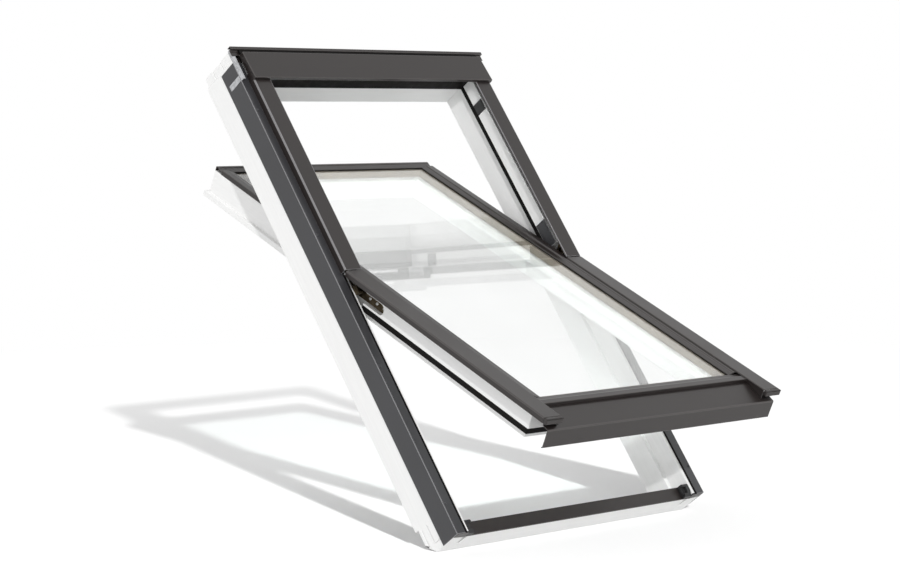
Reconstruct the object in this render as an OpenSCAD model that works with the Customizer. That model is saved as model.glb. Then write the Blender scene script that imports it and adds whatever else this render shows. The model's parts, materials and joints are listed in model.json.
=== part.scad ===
// Centre-pivot roof window: white timber frame and sash, grey sheet cladding, double glazing.
// Working axes inside the modules: X to the right, Y up the slope, Z out of the roof.
// Y = 0 is the lower end of the frame and Z = 0 the outer edge of the side cladding.
// The sash is drawn closed and then turned about the pivot to its ajar position.

/* [Window] */
// Width over the side cladding
frame_w = 780; // [560:1:1340]
// Length of the timber frame up the slope
frame_l = 1220; // [1000:1:1600]
// Depth of the frame from the cladding edge to the room face
frame_d = 112; // [100:1:140]
// Roof pitch in degrees
pitch = 53.4; // [15:0.1:85]
// Opening angle of the sash in degrees
sash_open = 29.4; // [0:0.1:45]
// Distance of the pivot from the lower end of the frame
pivot_v = 638; // [560:1:700]

/* [Timber] */
// Thickness of the frame's side pieces
stile_t = 43.5; // [38:0.5:52]
// Thickness of the frame's head
head_t = 34; // [28:0.5:44]
// Thickness of the frame's sill
sill_t = 40; // [36:0.5:52]
// Step between the stop and the rebate faces
seal_step = 9; // [7:0.5:11]
// Running gap between sash and frame
sash_gap = 3.5; // [3:0.1:5]
// Running gap between sash and sill
sill_gap = 5; // [4.5:0.1:7]
// Depth of the sash timber below the glazing seat
sash_d = 66; // [64:0.5:80]
// Width of the sash timber over its room face
sash_w = 73.5; // [66:0.5:90]
// Width of the lining groove in the room face
groove_w = 12; // [8:0.5:16]
// Depth of the lining groove
groove_d = 10; // [6:0.5:14]

/* [Cladding] */
// Thickness of the cladding sheet
sheet_t = 1.5; // [0.8:0.1:2]
// Depth of the side cladding down the outside of the frame
flange_h = 52; // [40:1:70]
// Width of the side cladding across the top of the frame
flange_w = 24; // [22:0.5:28]
// Width of the side covers
cover_w = 49; // [44:0.5:52]
// Inset of the covers from the outside of the frame
cover_inset = 20; // [16:0.5:21]
// Height of the covers above the side cladding
cover_h = 18; // [17:0.5:26]
// Chamfer along the covers' long edges
cover_chamfer = 2; // [1:0.5:3]
// Gap between the upper and lower covers at the pivot
cover_split = 3; // [2:0.5:6]
// Length of the hood up the slope
hood_l = 94; // [80:1:120]
// Overhang of the hood past the upper end of the frame
hood_over = 24; // [15:1:40]
// Height of the hood's lower lip above the covers
hood_lip = 9; // [6:0.5:14]
// Overhang of the apron past the lower end of the frame
apron_over = 20; // [14:0.5:30]
// Depth of the apron's front
apron_drop = 40; // [30:1:50]

/* [Glazing] */
// Thickness of each pane
pane_t = 4; // [3:0.5:6]
// Gap between the panes
pane_gap = 16; // [12:0.5:18]
// Bite of the glazing cladding over the edge of the glass
glass_bite = 6; // [4:0.5:9]
// Width of the glazing cladding
bead_w = 35.5; // [33:0.5:40]

/* [Hinge] */
// Mean radius of the curved track about the pivot
track_r = 45; // [43:0.5:47]
// Width of the tongue that runs in the track
tongue_w = 7.4; // [6:0.1:9]
// Running clearance round the tongue
tongue_clear = 0.3; // [0.2:0.05:0.5]
// Length of the sash arm below the pivot
arm_l = 123; // [100:1:130]
// Width of the sash arm
arm_w = 22; // [18:0.5:24]

/* [Lock] */
// Length of the handle from its axis
lever_l = 115; // [90:1:140]
// Width of the handle beside its hub
lever_w = 20; // [16:0.5:22]
// Distance of the handle's axis from the lower edge of the sash
handle_set = 30; // [28:0.5:36]
// Turn of the handle in degrees
handle_turn = 90; // [80:1:90]
// Throw radius of the crank that drives the bolt
crank_r = 9; // [8:0.5:10]
// Diameter of the crank's pin
pin_d = 6; // [5:0.5:7]
// Width of the latch bolt
bolt_w = 32; // [30:0.5:36]
// Thickness of the latch bolt
bolt_t = 7; // [6:0.5:8]

/* [Hidden] */

$fn = 48;

PAINT = "#f1f1ef";
SHEET = "#4b494b";
RUBBER = "#1d1c1e";
BLACK = "#232224";
ZINC = "#8f7f55";
STEEL = "#b9bbbd";
GREY = "#9b9c9e";

// Frame section, measured across the window
x_out = frame_w / 2;
x_wood = x_out - sheet_t;
x_in = x_wood - stile_t;
x_stop = x_in - seal_step;
x_rebate = x_in + seal_step;
x_cover = x_out - cover_inset;
x_cover_in = x_cover - cover_w;

// Frame section, measured out of the roof
n_room = -frame_d;
n_wood = -sheet_t;
gasket_h = 12;
seal_n = -48;
seal_clear = 1;
n_stop = seal_n + gasket_h;
n_ledge = seal_n - 2 * seal_clear;
n_sill = -20;
pivot_n = cover_h;
seat_n = 66;
groove_inset = 11;
groove_x = x_in + groove_inset;
over = 1;

// Frame ends, measured up the slope
v_head_in = frame_l - head_t;
v_head_stop = v_head_in - seal_step;
v_groove = v_head_in + groove_inset;
cladding_short = 9;
v_sill_out = sill_t - seal_step;
v_room_end = 64;
toe_l = 27;
toe_h = 24;
toe_mid_l = 15;
toe_mid_h = 10;
n_toe = n_room + groove_d;

// Sash section
s_top = 4;
s_room = s_top - sash_d;
s_flange = seal_n - seal_clear;
s_side = x_in - sash_gap;
s_neck = x_stop - sash_gap;
s_wing = x_rebate - sash_gap;
s_inner = s_side - sash_w;
gasket_t = 6.5;
s_gasket = s_wing - gasket_t;
s_gasket_top = s_flange + gasket_h;
v_head_out = v_head_in - sash_gap;
v_head_neck = v_head_stop - sash_gap;
v_foot_in = sill_t + sill_gap;
v_foot_out = v_sill_out + sill_gap;

// Glazing: pane edges and the timber that carries them
pane_stack = 2 * pane_t + pane_gap;
bead_in = s_neck - bead_w;
pane_x = bead_in + glass_bite;
edge_gap = 2;
seal_t = 1;
n_pane = s_top + 3;
n_rest = n_pane - pane_stack - seal_t;
rest_chamfer = 8;
bead_foot_step = 4;
bead_foot_w = bead_w + bead_foot_step;
bead_head_w = 23;
v_bead_foot = v_foot_out + bead_foot_w;
v_bead_head = v_head_neck - bead_head_w;
v_pane_low = v_bead_foot - glass_bite;
v_pane_high = v_bead_head + glass_bite;
foot_narrow = 14;
sash_head_w = 62;
v_light_low = v_foot_in + sash_w - foot_narrow;
v_light_high = v_head_out - sash_head_w;
bead_h = 15;
bead_lip = 2.5;

// Covers and hood
n_cover_in = cover_h - sheet_t;
skirt_n = 4.5;
cover_end_t = 10;
v_hood = frame_l + hood_over - hood_l;
n_hood = cover_h + hood_lip;
hood_clear = 0.3;
hood_slope = 3;
x_hood = x_cover + hood_clear + sheet_t;
x_rail = x_out + 4;
v_plate = frame_l + 4;
v_back = frame_l + hood_over;
rail_w = 8;
rail_h = 7;
rail_drop = 4;
n_floor = cover_h - 8;
v_rail = v_back - rail_w;
hood_edge_h = 9;
hood_edge_w = 6.5;
hood_edge_start = 10;
v_hood_edge = v_hood + hood_edge_start;
cover_tuck = 24;
v_cover_top = v_hood + cover_tuck;
apron_inset = 13;
apron_w = x_cover - apron_inset;
apron_bend = 2;
apron_clear = 1;
apron_hem = 4;
wall_gap = 0.7;
v_apron = -apron_over;
n_apron = -9;
v_apron_seat = v_bead_foot - bead_w + bead_foot_step;
corner_w = 20;
corner_h = 17;
corner_gap = 1;
corner_plate = 3;
flap_t = 1.5;
flap_top = -4;
stop_block_v = v_head_stop - 90;
stop_block_l = 29;
stop_block_t = 2.5;
hinge_cover_l = 66;
hinge_cover_t = 1;

// Hinge track and shoe about the pivot
track_wall = 6;
track_in = track_r - tongue_w / 2 - tongue_clear;
track_out = track_r + tongue_w / 2 + tongue_clear;
track_edge = track_out + track_wall;
track_plate = 3;
track_depth = 8;
track_end = 8;
x_track = x_rebate - track_plate;
x_track_face = x_track - track_depth;
ear_v = track_edge - 1;
ear_h = 14;
v_stop_start = pivot_v + track_edge + 1;
v_wing_end = pivot_v - track_edge - 4;
shoe_plate = 5;
shoe_end = 12.4;
shoe_front = 24;
arm_n = -20;
arm_clear = 1.5;
v_arm = pivot_v - arm_l + arm_w / 2;
screw_r = 2;
screw_head_r = 4;
screw_head_h = 2;
track_screw_l = 20;
shoe_screw_l = 14;
cladding_screw_l = 12;
screw_end = 70;
cladding_screw_x = x_out - flange_w / 4;

// Lock: bolt, crank and case on the room face of the sash foot
handle_v = v_foot_in + handle_set;
bolt_throw = 2 * crank_r * sin(handle_turn / 2);
bolt_clear = 0.3;
bolt_set = 1;
bolt_nose = 2;
pin_clear = 0.5;
n_bolt = s_room - bolt_clear;
n_bolt_in = n_bolt - bolt_t;
v_bolt = v_foot_in + bolt_set;
v_bolt_back = handle_v + crank_r + pin_d / 2 + 4;
slot_x = crank_r * cos(handle_turn / 2) - pin_d / 2 - bolt_clear;
slot_end = crank_r + pin_d / 2 + bolt_clear;
slot_v = handle_v + bolt_throw / 2;
slot_h = pin_d + 2 * pin_clear;
crank_disc_r = crank_r + pin_d / 2 + 1;
crank_t = 4;
n_crank = n_bolt_in - pin_clear;
n_crank_in = n_crank - crank_t;
case_wall = 3;
n_case = n_crank_in - bolt_clear - case_wall;
spindle_d = 10;
spindle_clear = 0.15;
spindle_seat = 10;
hub_d = 24;
hub_h = 16;
lever_t = 11;
lever_end = 8;
n_lever = n_case - bolt_clear - hub_h;
keep_depth = 12;
keep_clear = 1;
striker_edge = 8;

// A section in X and Z, drawn out between two distances up the slope
module along_slope(v0, v1)
    translate([0, v1, 0]) rotate([90, 0, 0]) linear_extrude(v1 - v0) children();

// A section in Y and Z, drawn out between two places across the window
module across(x0, x1)
    translate([x0, 0, 0]) rotate([90, 0, 90]) linear_extrude(x1 - x0) children();

module block(low, high)
    translate(low) cube(high - low);

// The left piece is the right one mirrored
module hand(s) {
    if (s > 0) children();
    else mirror([1, 0, 0]) children();
}

module both() {
    children();
    mirror([1, 0, 0]) children();
}

module on_frame()
    rotate([pitch, 0, 0]) translate([0, 0, seat_n]) children();

module on_sash()
    on_frame() translate([0, pivot_v, pivot_n]) rotate([-sash_open, 0, 0])
        translate([0, -pivot_v, -pivot_n]) children();

// Screw along X with its domed head towards the middle of the window
module side_screw(x_face, v, n, length)
    translate([x_face, v, n]) rotate([0, 90, 0]) {
        cylinder(r = screw_r, h = length);
        translate([0, 0, -screw_head_h])
            cylinder(r1 = screw_head_r * 0.6, r2 = screw_head_r, h = screw_head_h);
    }

// Room for the bolt's end in the sill and its plate
module bolt_keep(v0, v1)
    block([-bolt_w / 2 - keep_clear, v0, n_bolt_in - keep_clear],
        [bolt_w / 2 + keep_clear, v1, n_bolt + keep_clear]);

module screw_hole(x_face, v, n, length)
    translate([x_face, v, n]) rotate([0, 90, 0]) cylinder(r = screw_r, h = length);

// Ring about the pivot
module pivot_ring(r0, r1, x0, x1)
    translate([x0, pivot_v, pivot_n]) rotate([0, 90, 0]) difference() {
        cylinder(r = r1, h = x1 - x0);
        translate([0, 0, -over]) cylinder(r = r0, h = x1 - x0 + 2 * over);
    }

// Timber frame
function track_screw_places() = [for (s = [-1, 1]) [pivot_v + s * (ear_v - 8), n_ledge + ear_h - 6]];

function cladding_screw_places() = [for (k = [0 : 3]) screw_end + k * (v_hood - 2 * screw_end) / 3];

// Lower end of the frame's timber: the toe slopes back and the room side starts higher
function toe() = [[toe_l, n_toe], [toe_mid_l, n_toe + toe_mid_h], [0, n_toe + toe_h]];

module corner_end(v0, v1)
    along_slope(v0, v1) polygon([[x_rebate, n_sill - sheet_t], [x_wood, n_wood], [x_rebate, n_wood]]);

module frame_stile() color(PAINT)
    difference() {
        union() {
            along_slope(0, frame_l) polygon([[x_in, n_room], [groove_x, n_room],
                [groove_x, n_room + groove_d],
                [groove_x + groove_w, n_room + groove_d], [groove_x + groove_w, n_room], [x_wood, n_room],
                [x_wood, n_wood], [x_rebate, n_wood], [x_rebate, n_ledge], [x_in, n_ledge]]);
            along_slope(v_stop_start, v_head_stop)
                polygon([[x_stop, n_stop], [x_in, n_stop], [x_in, n_ledge], [x_rebate, n_ledge],
                    [x_rebate, n_wood], [x_stop, n_wood]]);
            along_slope(v_head_stop, frame_l)
                polygon([[x_in, n_ledge], [x_rebate, n_ledge], [x_rebate, n_wood], [x_in, n_wood]]);
        }
        across(x_in - over, x_wood + over)
            polygon(concat([[-over, n_toe + toe_h], [-over, n_room - over], [v_room_end, n_room - over],
                [v_room_end, n_toe]], toe()));
        corner_end(-over, corner_plate);
        for (p = track_screw_places()) screw_hole(x_rebate - over, p[0], p[1], track_screw_l + over);
        for (v = cladding_screw_places())
            translate([cladding_screw_x, v, n_wood - cladding_screw_l])
                cylinder(r = screw_r, h = cladding_screw_l + over);
    }

module frame_head() color(PAINT)
    across(-x_in, x_in)
        polygon([[v_head_in, n_room], [v_groove, n_room], [v_groove, n_room + groove_d],
            [v_groove + groove_w, n_room + groove_d], [v_groove + groove_w, n_room],
            [frame_l, n_room], [frame_l, n_wood], [v_head_stop, n_wood], [v_head_stop, n_stop],
            [v_head_in, n_stop]]);

module frame_sill() color(PAINT)
    difference() {
        across(-x_in, x_in)
            polygon(concat(toe(), [[0, n_sill - sheet_t], [v_sill_out, n_sill - sheet_t],
                [v_sill_out, n_ledge],
                [sill_t, n_ledge], [sill_t, n_toe]]));
        bolt_keep(sill_t - keep_depth, sill_t + over);
    }

// Frame cladding
module side_cladding() color(SHEET)
    difference() {
        along_slope(0, frame_l - cladding_short)
            polygon([[x_wood, -flange_h], [x_out, -flange_h], [x_out, -1], [x_out - 1, 0],
                [x_out - flange_w, 0], [x_out - flange_w, n_wood], [x_wood, n_wood]]);
        for (v = cladding_screw_places())
            translate([cladding_screw_x, v, n_wood - over]) cylinder(r = screw_r, h = sheet_t + 2 * over);
    }

module sill_cladding() color(SHEET)
    across(-x_rebate, x_rebate)
        polygon([[0, n_sill - sheet_t], [v_sill_out, n_sill - sheet_t], [v_sill_out, n_sill],
            [1, n_sill], [0, n_sill - 1]]);

module head_flashing() color(SHEET)
    across(-x_in, x_in)
        polygon([[v_head_stop, n_wood], [frame_l, n_wood], [frame_l, -flange_h],
            [frame_l + sheet_t, -flange_h],
            [frame_l + sheet_t, 0], [v_head_stop, 0]]);

// Hood: a raised plate with closed ends, then a groove and a rail along the upper edge
module hood() color(SHEET) {
    across(-x_hood, x_hood)
        polygon([[v_hood, cover_h], [v_hood, n_hood - 1], [v_hood + 1, n_hood],
            [v_plate, n_hood - hood_slope],
            [v_plate, n_floor - sheet_t], [v_plate - sheet_t, n_floor - sheet_t],
            [v_plate - sheet_t, n_hood - hood_slope - sheet_t], [v_hood + sheet_t, n_hood - sheet_t],
            [v_hood + sheet_t, cover_h]]);
    both() across(x_hood - sheet_t, x_hood)
        polygon([[v_hood, n_floor], [v_hood, n_hood - 1], [v_hood + 1, n_hood],
            [v_plate, n_hood - hood_slope],
            [v_plate, n_floor - sheet_t]]);
    across(-x_rail, x_rail)
        polygon([[v_plate - sheet_t, n_floor - sheet_t], [v_plate - sheet_t, n_floor], [v_rail, n_floor],
            [v_rail, n_floor + rail_h], [v_back, n_floor + rail_h], [v_back, n_floor - rail_drop],
            [v_back - sheet_t, n_floor - rail_drop], [v_back - sheet_t, n_floor + rail_h - sheet_t],
            [v_rail + sheet_t, n_floor + rail_h - sheet_t], [v_rail + sheet_t, n_floor - sheet_t]]);
}

module hood_seal() color(RUBBER)
    across(-x_hood, x_hood)
        polygon([[v_plate, n_floor], [v_rail, n_floor], [v_rail, n_floor + rail_h - 2],
            [v_plate, n_floor + rail_h]]);

// Angle along the outer edge of the side cladding, beside the hood
module hood_end() color(STEEL)
    along_slope(v_hood_edge, v_plate - 2)
        polygon([[x_wood, 0], [x_out, 0], [x_out, hood_edge_h], [x_out - hood_edge_w, hood_edge_h],
            [x_out - hood_edge_w, hood_edge_h - sheet_t], [x_wood, hood_edge_h - sheet_t]]);

module cover_section(foot, lip)
    polygon([[x_cover - sheet_t, foot], [x_cover, foot], [x_cover, cover_h - cover_chamfer],
        [x_cover - cover_chamfer, cover_h], [x_cover_in + cover_chamfer, cover_h],
        [x_cover_in, cover_h - cover_chamfer], [x_cover_in, lip], [x_cover_in + sheet_t, lip],
        [x_cover_in + sheet_t, n_cover_in - 0.6], [x_cover_in + cover_chamfer + 0.6, n_cover_in],
        [x_cover - cover_chamfer - 0.6, n_cover_in], [x_cover - sheet_t, n_cover_in - 0.6]]);

module upper_cover() color(SHEET)
    along_slope(pivot_v + cover_split / 2, v_cover_top) cover_section(0, n_cover_in - 0.7);

// Seals and small frame pieces
module frame_gasket() color(RUBBER) {
    both() along_slope(v_stop_start, v_head_stop)
        polygon([[x_stop - 1, seal_n + 3], [x_stop + 1, seal_n + seal_clear], [x_in, seal_n + seal_clear],
            [x_in, n_stop], [x_stop - 1, n_stop]]);
    across(-x_in, x_in)
        polygon([[v_head_stop, seal_n + 3], [v_head_stop + 2, seal_n + seal_clear],
            [v_head_in, seal_n + seal_clear], [v_head_in, n_stop], [v_head_stop, n_stop]]);
    block([-x_stop, v_head_stop - flap_t, seal_n + 3], [x_stop, v_head_stop, flap_top]);
}

module rebate_seal() color(RUBBER)
    along_slope(0, v_stop_start)
        polygon([[x_rebate + 4, n_wood], [x_out - flange_w, n_wood], [x_out - flange_w, 1.5],
            [x_rebate + 8, 2.5], [x_rebate + 4, 1.5]]);

module sill_corner() color(BLACK) {
    difference() {
        across(x_rebate - corner_w, x_rebate)
            polygon([[0, n_sill], [v_sill_out - corner_gap, n_sill],
                [v_sill_out - corner_gap, n_sill + corner_h - 2],
                [v_sill_out - 3, n_sill + corner_h], [14, n_sill + corner_h], [0, n_sill + corner_h - 5]]);
        block([x_rebate - corner_w - over, 8, n_sill + corner_h / 2],
            [x_rebate - corner_w / 2, v_sill_out - 8, n_sill + corner_h + over]);
    }
    corner_end(0, corner_plate);
    block([x_rebate - over, over / 2, n_sill + over],
        [x_rebate + over, corner_plate - over / 2, n_sill + corner_h / 2]);
}

module stop_block() color(BLACK)
    block([x_stop - stop_block_t, stop_block_v, n_stop + 2],
        [x_stop, stop_block_v + stop_block_l, n_wood - 1.5]);

// Sheet on the stop's inner face, above the hinge
module hinge_cover() color(SHEET)
    block([x_stop - hinge_cover_t, v_stop_start, n_stop + 2],
        [x_stop, v_stop_start + hinge_cover_l, n_wood]);

module striker_plate() color(STEEL)
    difference() {
        block([-bolt_w / 2 - striker_edge, sill_t, n_bolt_in - keep_clear - striker_edge],
            [bolt_w / 2 + striker_edge, sill_t + sheet_t, n_bolt + keep_clear + striker_edge]);
        bolt_keep(sill_t - over, sill_t + sheet_t + over);
    }

module cladding_screws() color(SHEET)
    both() for (v = cladding_screw_places()) translate([cladding_screw_x, v, 0]) {
        translate([0, 0, -cladding_screw_l]) cylinder(r = screw_r, h = cladding_screw_l);
        cylinder(r1 = screw_head_r, r2 = screw_head_r * 0.6, h = screw_head_h);
    }

// Curved-track hinge: a tongue on the sash runs in a groove on the frame
module hinge_track() color(ZINC)
    difference() {
        union() {
            intersection() {
                pivot_ring(track_in - track_wall, track_edge, x_track_face, x_rebate);
                block([x_track_face - over, pivot_v - track_edge - over, n_room],
                    [x_rebate + over, pivot_v + track_edge + over, pivot_n - track_end]);
            }
            across(x_track, x_rebate)
                polygon([[pivot_v - ear_v, n_ledge + 2], [pivot_v + ear_v, n_ledge + 2],
                    [pivot_v + ear_v, n_ledge + ear_h + 2], [pivot_v + ear_v / 2, pivot_n - track_r],
                    [pivot_v - ear_v / 2, pivot_n - track_r], [pivot_v - ear_v, n_ledge + ear_h + 2]]);
        }
        pivot_ring(track_in, track_out, x_track_face - over, x_track);
        for (p = track_screw_places()) screw_hole(x_track - over, p[0], p[1], track_plate + 2 * over);
    }

module track_screws() color(STEEL)
    both() for (p = track_screw_places()) side_screw(x_track, p[0], p[1], track_screw_l);

function shoe_screw_places() = [for (k = [0 : 2]) [v_arm + k * arm_w * 1.1, arm_n]];

module shoe_sector(r0, r1, x1)
    intersection() {
        pivot_ring(r0, r1, s_neck, x1);
        block([s_neck - over, pivot_v - shoe_front, n_room],
            [x1 + over, pivot_v + track_edge + over, pivot_n - shoe_end]);
    }

// The arm's outline, grown by a clearance and left open towards the pivot
module arm_shape(grow, v_end, x1) {
    translate([s_neck, v_arm, arm_n]) rotate([0, 90, 0]) cylinder(d = arm_w + 2 * grow, h = x1 - s_neck);
    block([s_neck, v_arm, arm_n - arm_w / 2 - grow], [x1, v_end, arm_n + arm_w / 2 + grow]);
}

module hinge_shoe() color(ZINC)
    difference() {
        union() {
            shoe_sector(track_in - track_wall, track_edge, s_neck + shoe_plate);
            shoe_sector(track_r - tongue_w / 2, track_r + tongue_w / 2, x_track - 2 * tongue_clear);
            arm_shape(0, pivot_v - shoe_front + 6, s_neck + shoe_plate);
        }
        for (p = shoe_screw_places()) screw_hole(s_neck - over, p[0], p[1], shoe_plate + 2 * over);
    }

module shoe_screws() color(STEEL)
    both() for (p = shoe_screw_places()) mirror([1, 0, 0])
        side_screw(-s_neck - shoe_plate, p[0], p[1], shoe_plate + shoe_screw_l);

// Timber sash
function sash_rest() = [[bead_in + glass_bite + edge_gap, s_top], [bead_in + glass_bite + edge_gap, n_rest],
    [s_inner + rest_chamfer, n_rest], [s_inner, n_rest - rest_chamfer - 4]];

module sash_stile() color(PAINT)
    difference() {
        union() {
            along_slope(v_foot_in, v_head_out)
                polygon(concat([[s_inner, s_room], [s_side, s_room], [s_side, s_flange], [s_neck, s_flange],
                    [s_neck, s_top]], sash_rest()));
            difference() {
                along_slope(v_foot_in, v_wing_end)
                    polygon([[s_neck, s_flange], [s_gasket, s_flange], [s_gasket, s_gasket_top],
                        [s_wing, s_gasket_top], [s_wing, s_top], [s_neck, s_top]]);
                arm_shape(arm_clear, v_wing_end + over, s_wing + over);
            }
            block([s_inner, v_foot_out, s_gasket_top], [s_wing, v_foot_in, s_top]);
            block([s_inner, v_foot_out + gasket_t, s_flange], [s_gasket, v_foot_in, s_gasket_top]);
        }
        along_slope(v_head_neck, v_head_out + over)
            polygon([[s_inner - over, s_flange], [s_side + over, s_flange], [s_side + over, s_top + over],
                [s_inner - over, s_top + over]]);
        for (p = shoe_screw_places()) screw_hole(s_neck - shoe_screw_l, p[0], p[1], shoe_screw_l + over);
    }

module sash_head() color(PAINT)
    across(-s_inner, s_inner)
        polygon([[v_light_high, s_room], [v_head_out, s_room], [v_head_out, s_flange],
            [v_head_neck, s_flange],
            [v_head_neck, s_top], [v_pane_high + edge_gap, s_top], [v_pane_high + edge_gap, n_rest],
            [v_light_high + rest_chamfer, n_rest], [v_light_high, n_rest - rest_chamfer - 4]]);

module sash_foot() color(PAINT)
    across(-s_inner, s_inner)
        polygon([[v_light_low, s_room], [v_light_low, n_rest - rest_chamfer - 4],
            [v_light_low - rest_chamfer, n_rest],
            [v_pane_low - edge_gap, n_rest], [v_pane_low - edge_gap, s_top], [v_foot_out, s_top],
            [v_foot_out, s_gasket_top], [v_foot_out + gasket_t, s_gasket_top],
            [v_foot_out + gasket_t, s_flange],
            [v_foot_in, s_flange], [v_foot_in, s_room]]);

module sash_gasket() color(RUBBER) {
    both() along_slope(v_foot_out, v_wing_end)
        polygon([[s_gasket, s_flange], [s_wing, s_flange], [s_wing + 1, s_flange + 3],
            [s_wing, s_gasket_top],
            [s_gasket, s_gasket_top]]);
    across(-s_gasket - gasket_t / 2, s_gasket + gasket_t / 2)
        polygon([[v_foot_out, s_flange], [v_foot_out + gasket_t, s_flange],
            [v_foot_out + gasket_t, s_gasket_top],
            [v_foot_out, s_gasket_top], [v_foot_out - 1, s_flange + 3]]);
}

// Double glazing
module pane(low)
    block([-pane_x, v_pane_low, low], [pane_x, v_pane_high, low + pane_t]);

module inner_pane() color("#cfe3e6", 0.3) pane(n_pane - pane_stack);

module outer_pane() color("#cfe3e6", 0.3) pane(n_pane - pane_t);

module rim(inset, width, low, high)
    difference() {
        block([-pane_x + inset, v_pane_low + inset, low], [pane_x - inset, v_pane_high - inset, high]);
        block([-pane_x + inset + width, v_pane_low + inset + width, low - 1],
            [pane_x - inset - width, v_pane_high - inset - width, high + 1]);
    }

module pane_spacer() color(GREY) rim(1, 13, n_pane - pane_t - pane_gap, n_pane - pane_t);

module glazing_seal() color(RUBBER) {
    rim(0, 9, n_rest, n_rest + seal_t);
    rim(0, glass_bite + 2, n_pane, n_pane + seal_t);
}

// Glazing cladding on the sash: the lip holds the glass and the foot stands on the timber
function bead_section(lip, foot) = let (d = sign(foot - lip)) [
    [lip, n_pane + seal_t], [lip, n_pane + seal_t + bead_lip],
    [lip + 14 * d, n_pane + seal_t + bead_lip + 2],
    [lip + 17 * d, bead_h], [foot, bead_h], [foot, s_top], [foot - sheet_t * d, s_top],
    [foot - sheet_t * d, bead_h - sheet_t], [lip + 17.6 * d, bead_h - sheet_t],
    [lip + 14.6 * d, n_pane + seal_t + bead_lip + 2 - sheet_t], [lip + glass_bite * d, n_pane + seal_t]];

module bead_side() color(SHEET)
    along_slope(v_bead_foot, v_bead_head) polygon(bead_section(bead_in, s_neck));

module bead_head() color(SHEET)
    across(-s_neck, s_neck) polygon(bead_section(v_bead_head, v_head_neck));

module bead_foot() color(SHEET)
    across(-s_neck, s_neck) polygon(bead_section(v_bead_foot, v_apron_seat));

// Apron: lies on the sash foot, slopes over the sill between the stiles and turns down in front of them
module apron() color(SHEET)
    difference() {
        across(-apron_w, apron_w)
            polygon([[v_apron_seat, s_top], [v_apron_seat, s_top + sheet_t],
                [v_foot_out - apron_bend, s_top + sheet_t],
                [v_apron + 1.5, n_apron + 1], [v_apron, n_apron - 1], [v_apron, n_apron - apron_drop],
                [v_apron + apron_hem, n_apron - apron_drop],
                [v_apron + apron_hem, n_apron - apron_drop + sheet_t],
                [v_apron + sheet_t, n_apron - apron_drop + sheet_t], [v_apron + sheet_t, n_apron - 1],
                [v_foot_out - 1, s_top]]);
        both() block([x_rebate - apron_clear, -2 * apron_clear, n_apron],
            [apron_w + over, v_foot_out, s_top + over]);
    }

// The inner wall at the lower end stands just clear of the apron
module lower_cover() color(SHEET) {
    along_slope(v_apron + cover_end_t, pivot_v - cover_split / 2) cover_section(skirt_n, bead_h);
    across(x_cover_in, x_cover_in + sheet_t)
        polygon([[v_apron + cover_end_t, n_apron + 4], [v_foot_out - apron_bend, s_top + sheet_t + wall_gap],
            [v_apron_seat - 1, s_top + sheet_t + wall_gap], [v_apron_seat - 1, n_cover_in],
            [v_apron + cover_end_t, n_cover_in]]);
}

module cover_end() color(SHEET)
    along_slope(v_apron, v_apron + cover_end_t)
        polygon([[x_cover_in, skirt_n], [x_cover, skirt_n], [x_cover, cover_h - cover_chamfer],
            [x_cover - cover_chamfer, cover_h], [x_cover_in + cover_chamfer, cover_h],
            [x_cover_in, cover_h - cover_chamfer]]);

// Lock on the room face of the sash foot: turning the handle drives the bolt towards the sill
module latch_case() color(STEEL)
    difference() {
        block([-bolt_w / 2 - case_wall, v_bolt, n_case],
            [bolt_w / 2 + case_wall, v_bolt_back + bolt_clear + case_wall, s_room]);
        block([-bolt_w / 2 - bolt_clear, v_bolt - over, n_bolt_in - bolt_clear],
            [bolt_w / 2 + bolt_clear, v_bolt_back + bolt_clear, s_room + over]);
        translate([0, handle_v, n_crank_in - bolt_clear])
            cylinder(r = crank_disc_r + pin_clear, h = bolt_t);
        translate([0, handle_v, n_case - over])
            cylinder(d = spindle_d + 2 * spindle_clear, h = bolt_t + over);
    }

module handle_crank() color(STEEL)
    translate([0, handle_v, 0]) {
        translate([0, 0, n_crank_in]) cylinder(r = crank_disc_r, h = crank_t);
        translate([0, 0, n_case - bolt_clear - spindle_seat])
            cylinder(d = spindle_d, h = n_crank - n_case + bolt_clear + spindle_seat);
        translate([crank_r * cos(handle_turn / 2), crank_r * sin(handle_turn / 2), n_crank_in])
            cylinder(d = pin_d, h = n_bolt - 1 - n_crank_in);
    }

module handle_lever() color(STEEL)
    translate([0, handle_v, n_lever]) difference() {
        union() {
            cylinder(d = hub_d, h = hub_h);
            translate([lever_end - lever_l, 0, 0]) cylinder(r = lever_end, h = lever_t);
            linear_extrude(lever_t) polygon([[0, -lever_w / 2], [0, lever_w / 2],
                [lever_end - lever_l, lever_end],
                [lever_end - lever_l, -lever_end]]);
        }
        translate([0, 0, hub_h - spindle_seat]) cylinder(d = spindle_d, h = spindle_seat + over);
    }

module latch_bolt() color(STEEL)
    difference() {
        across(-bolt_w / 2, bolt_w / 2)
            polygon([[v_bolt, n_bolt_in], [v_bolt_back, n_bolt_in], [v_bolt_back, n_bolt],
                [v_bolt + bolt_nose, n_bolt], [v_bolt, n_bolt - bolt_nose]]);
        block([slot_x, slot_v - slot_h / 2, n_bolt_in - over],
            [slot_end, slot_v + slot_h / 2, n_bolt + over]);
    }

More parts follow.
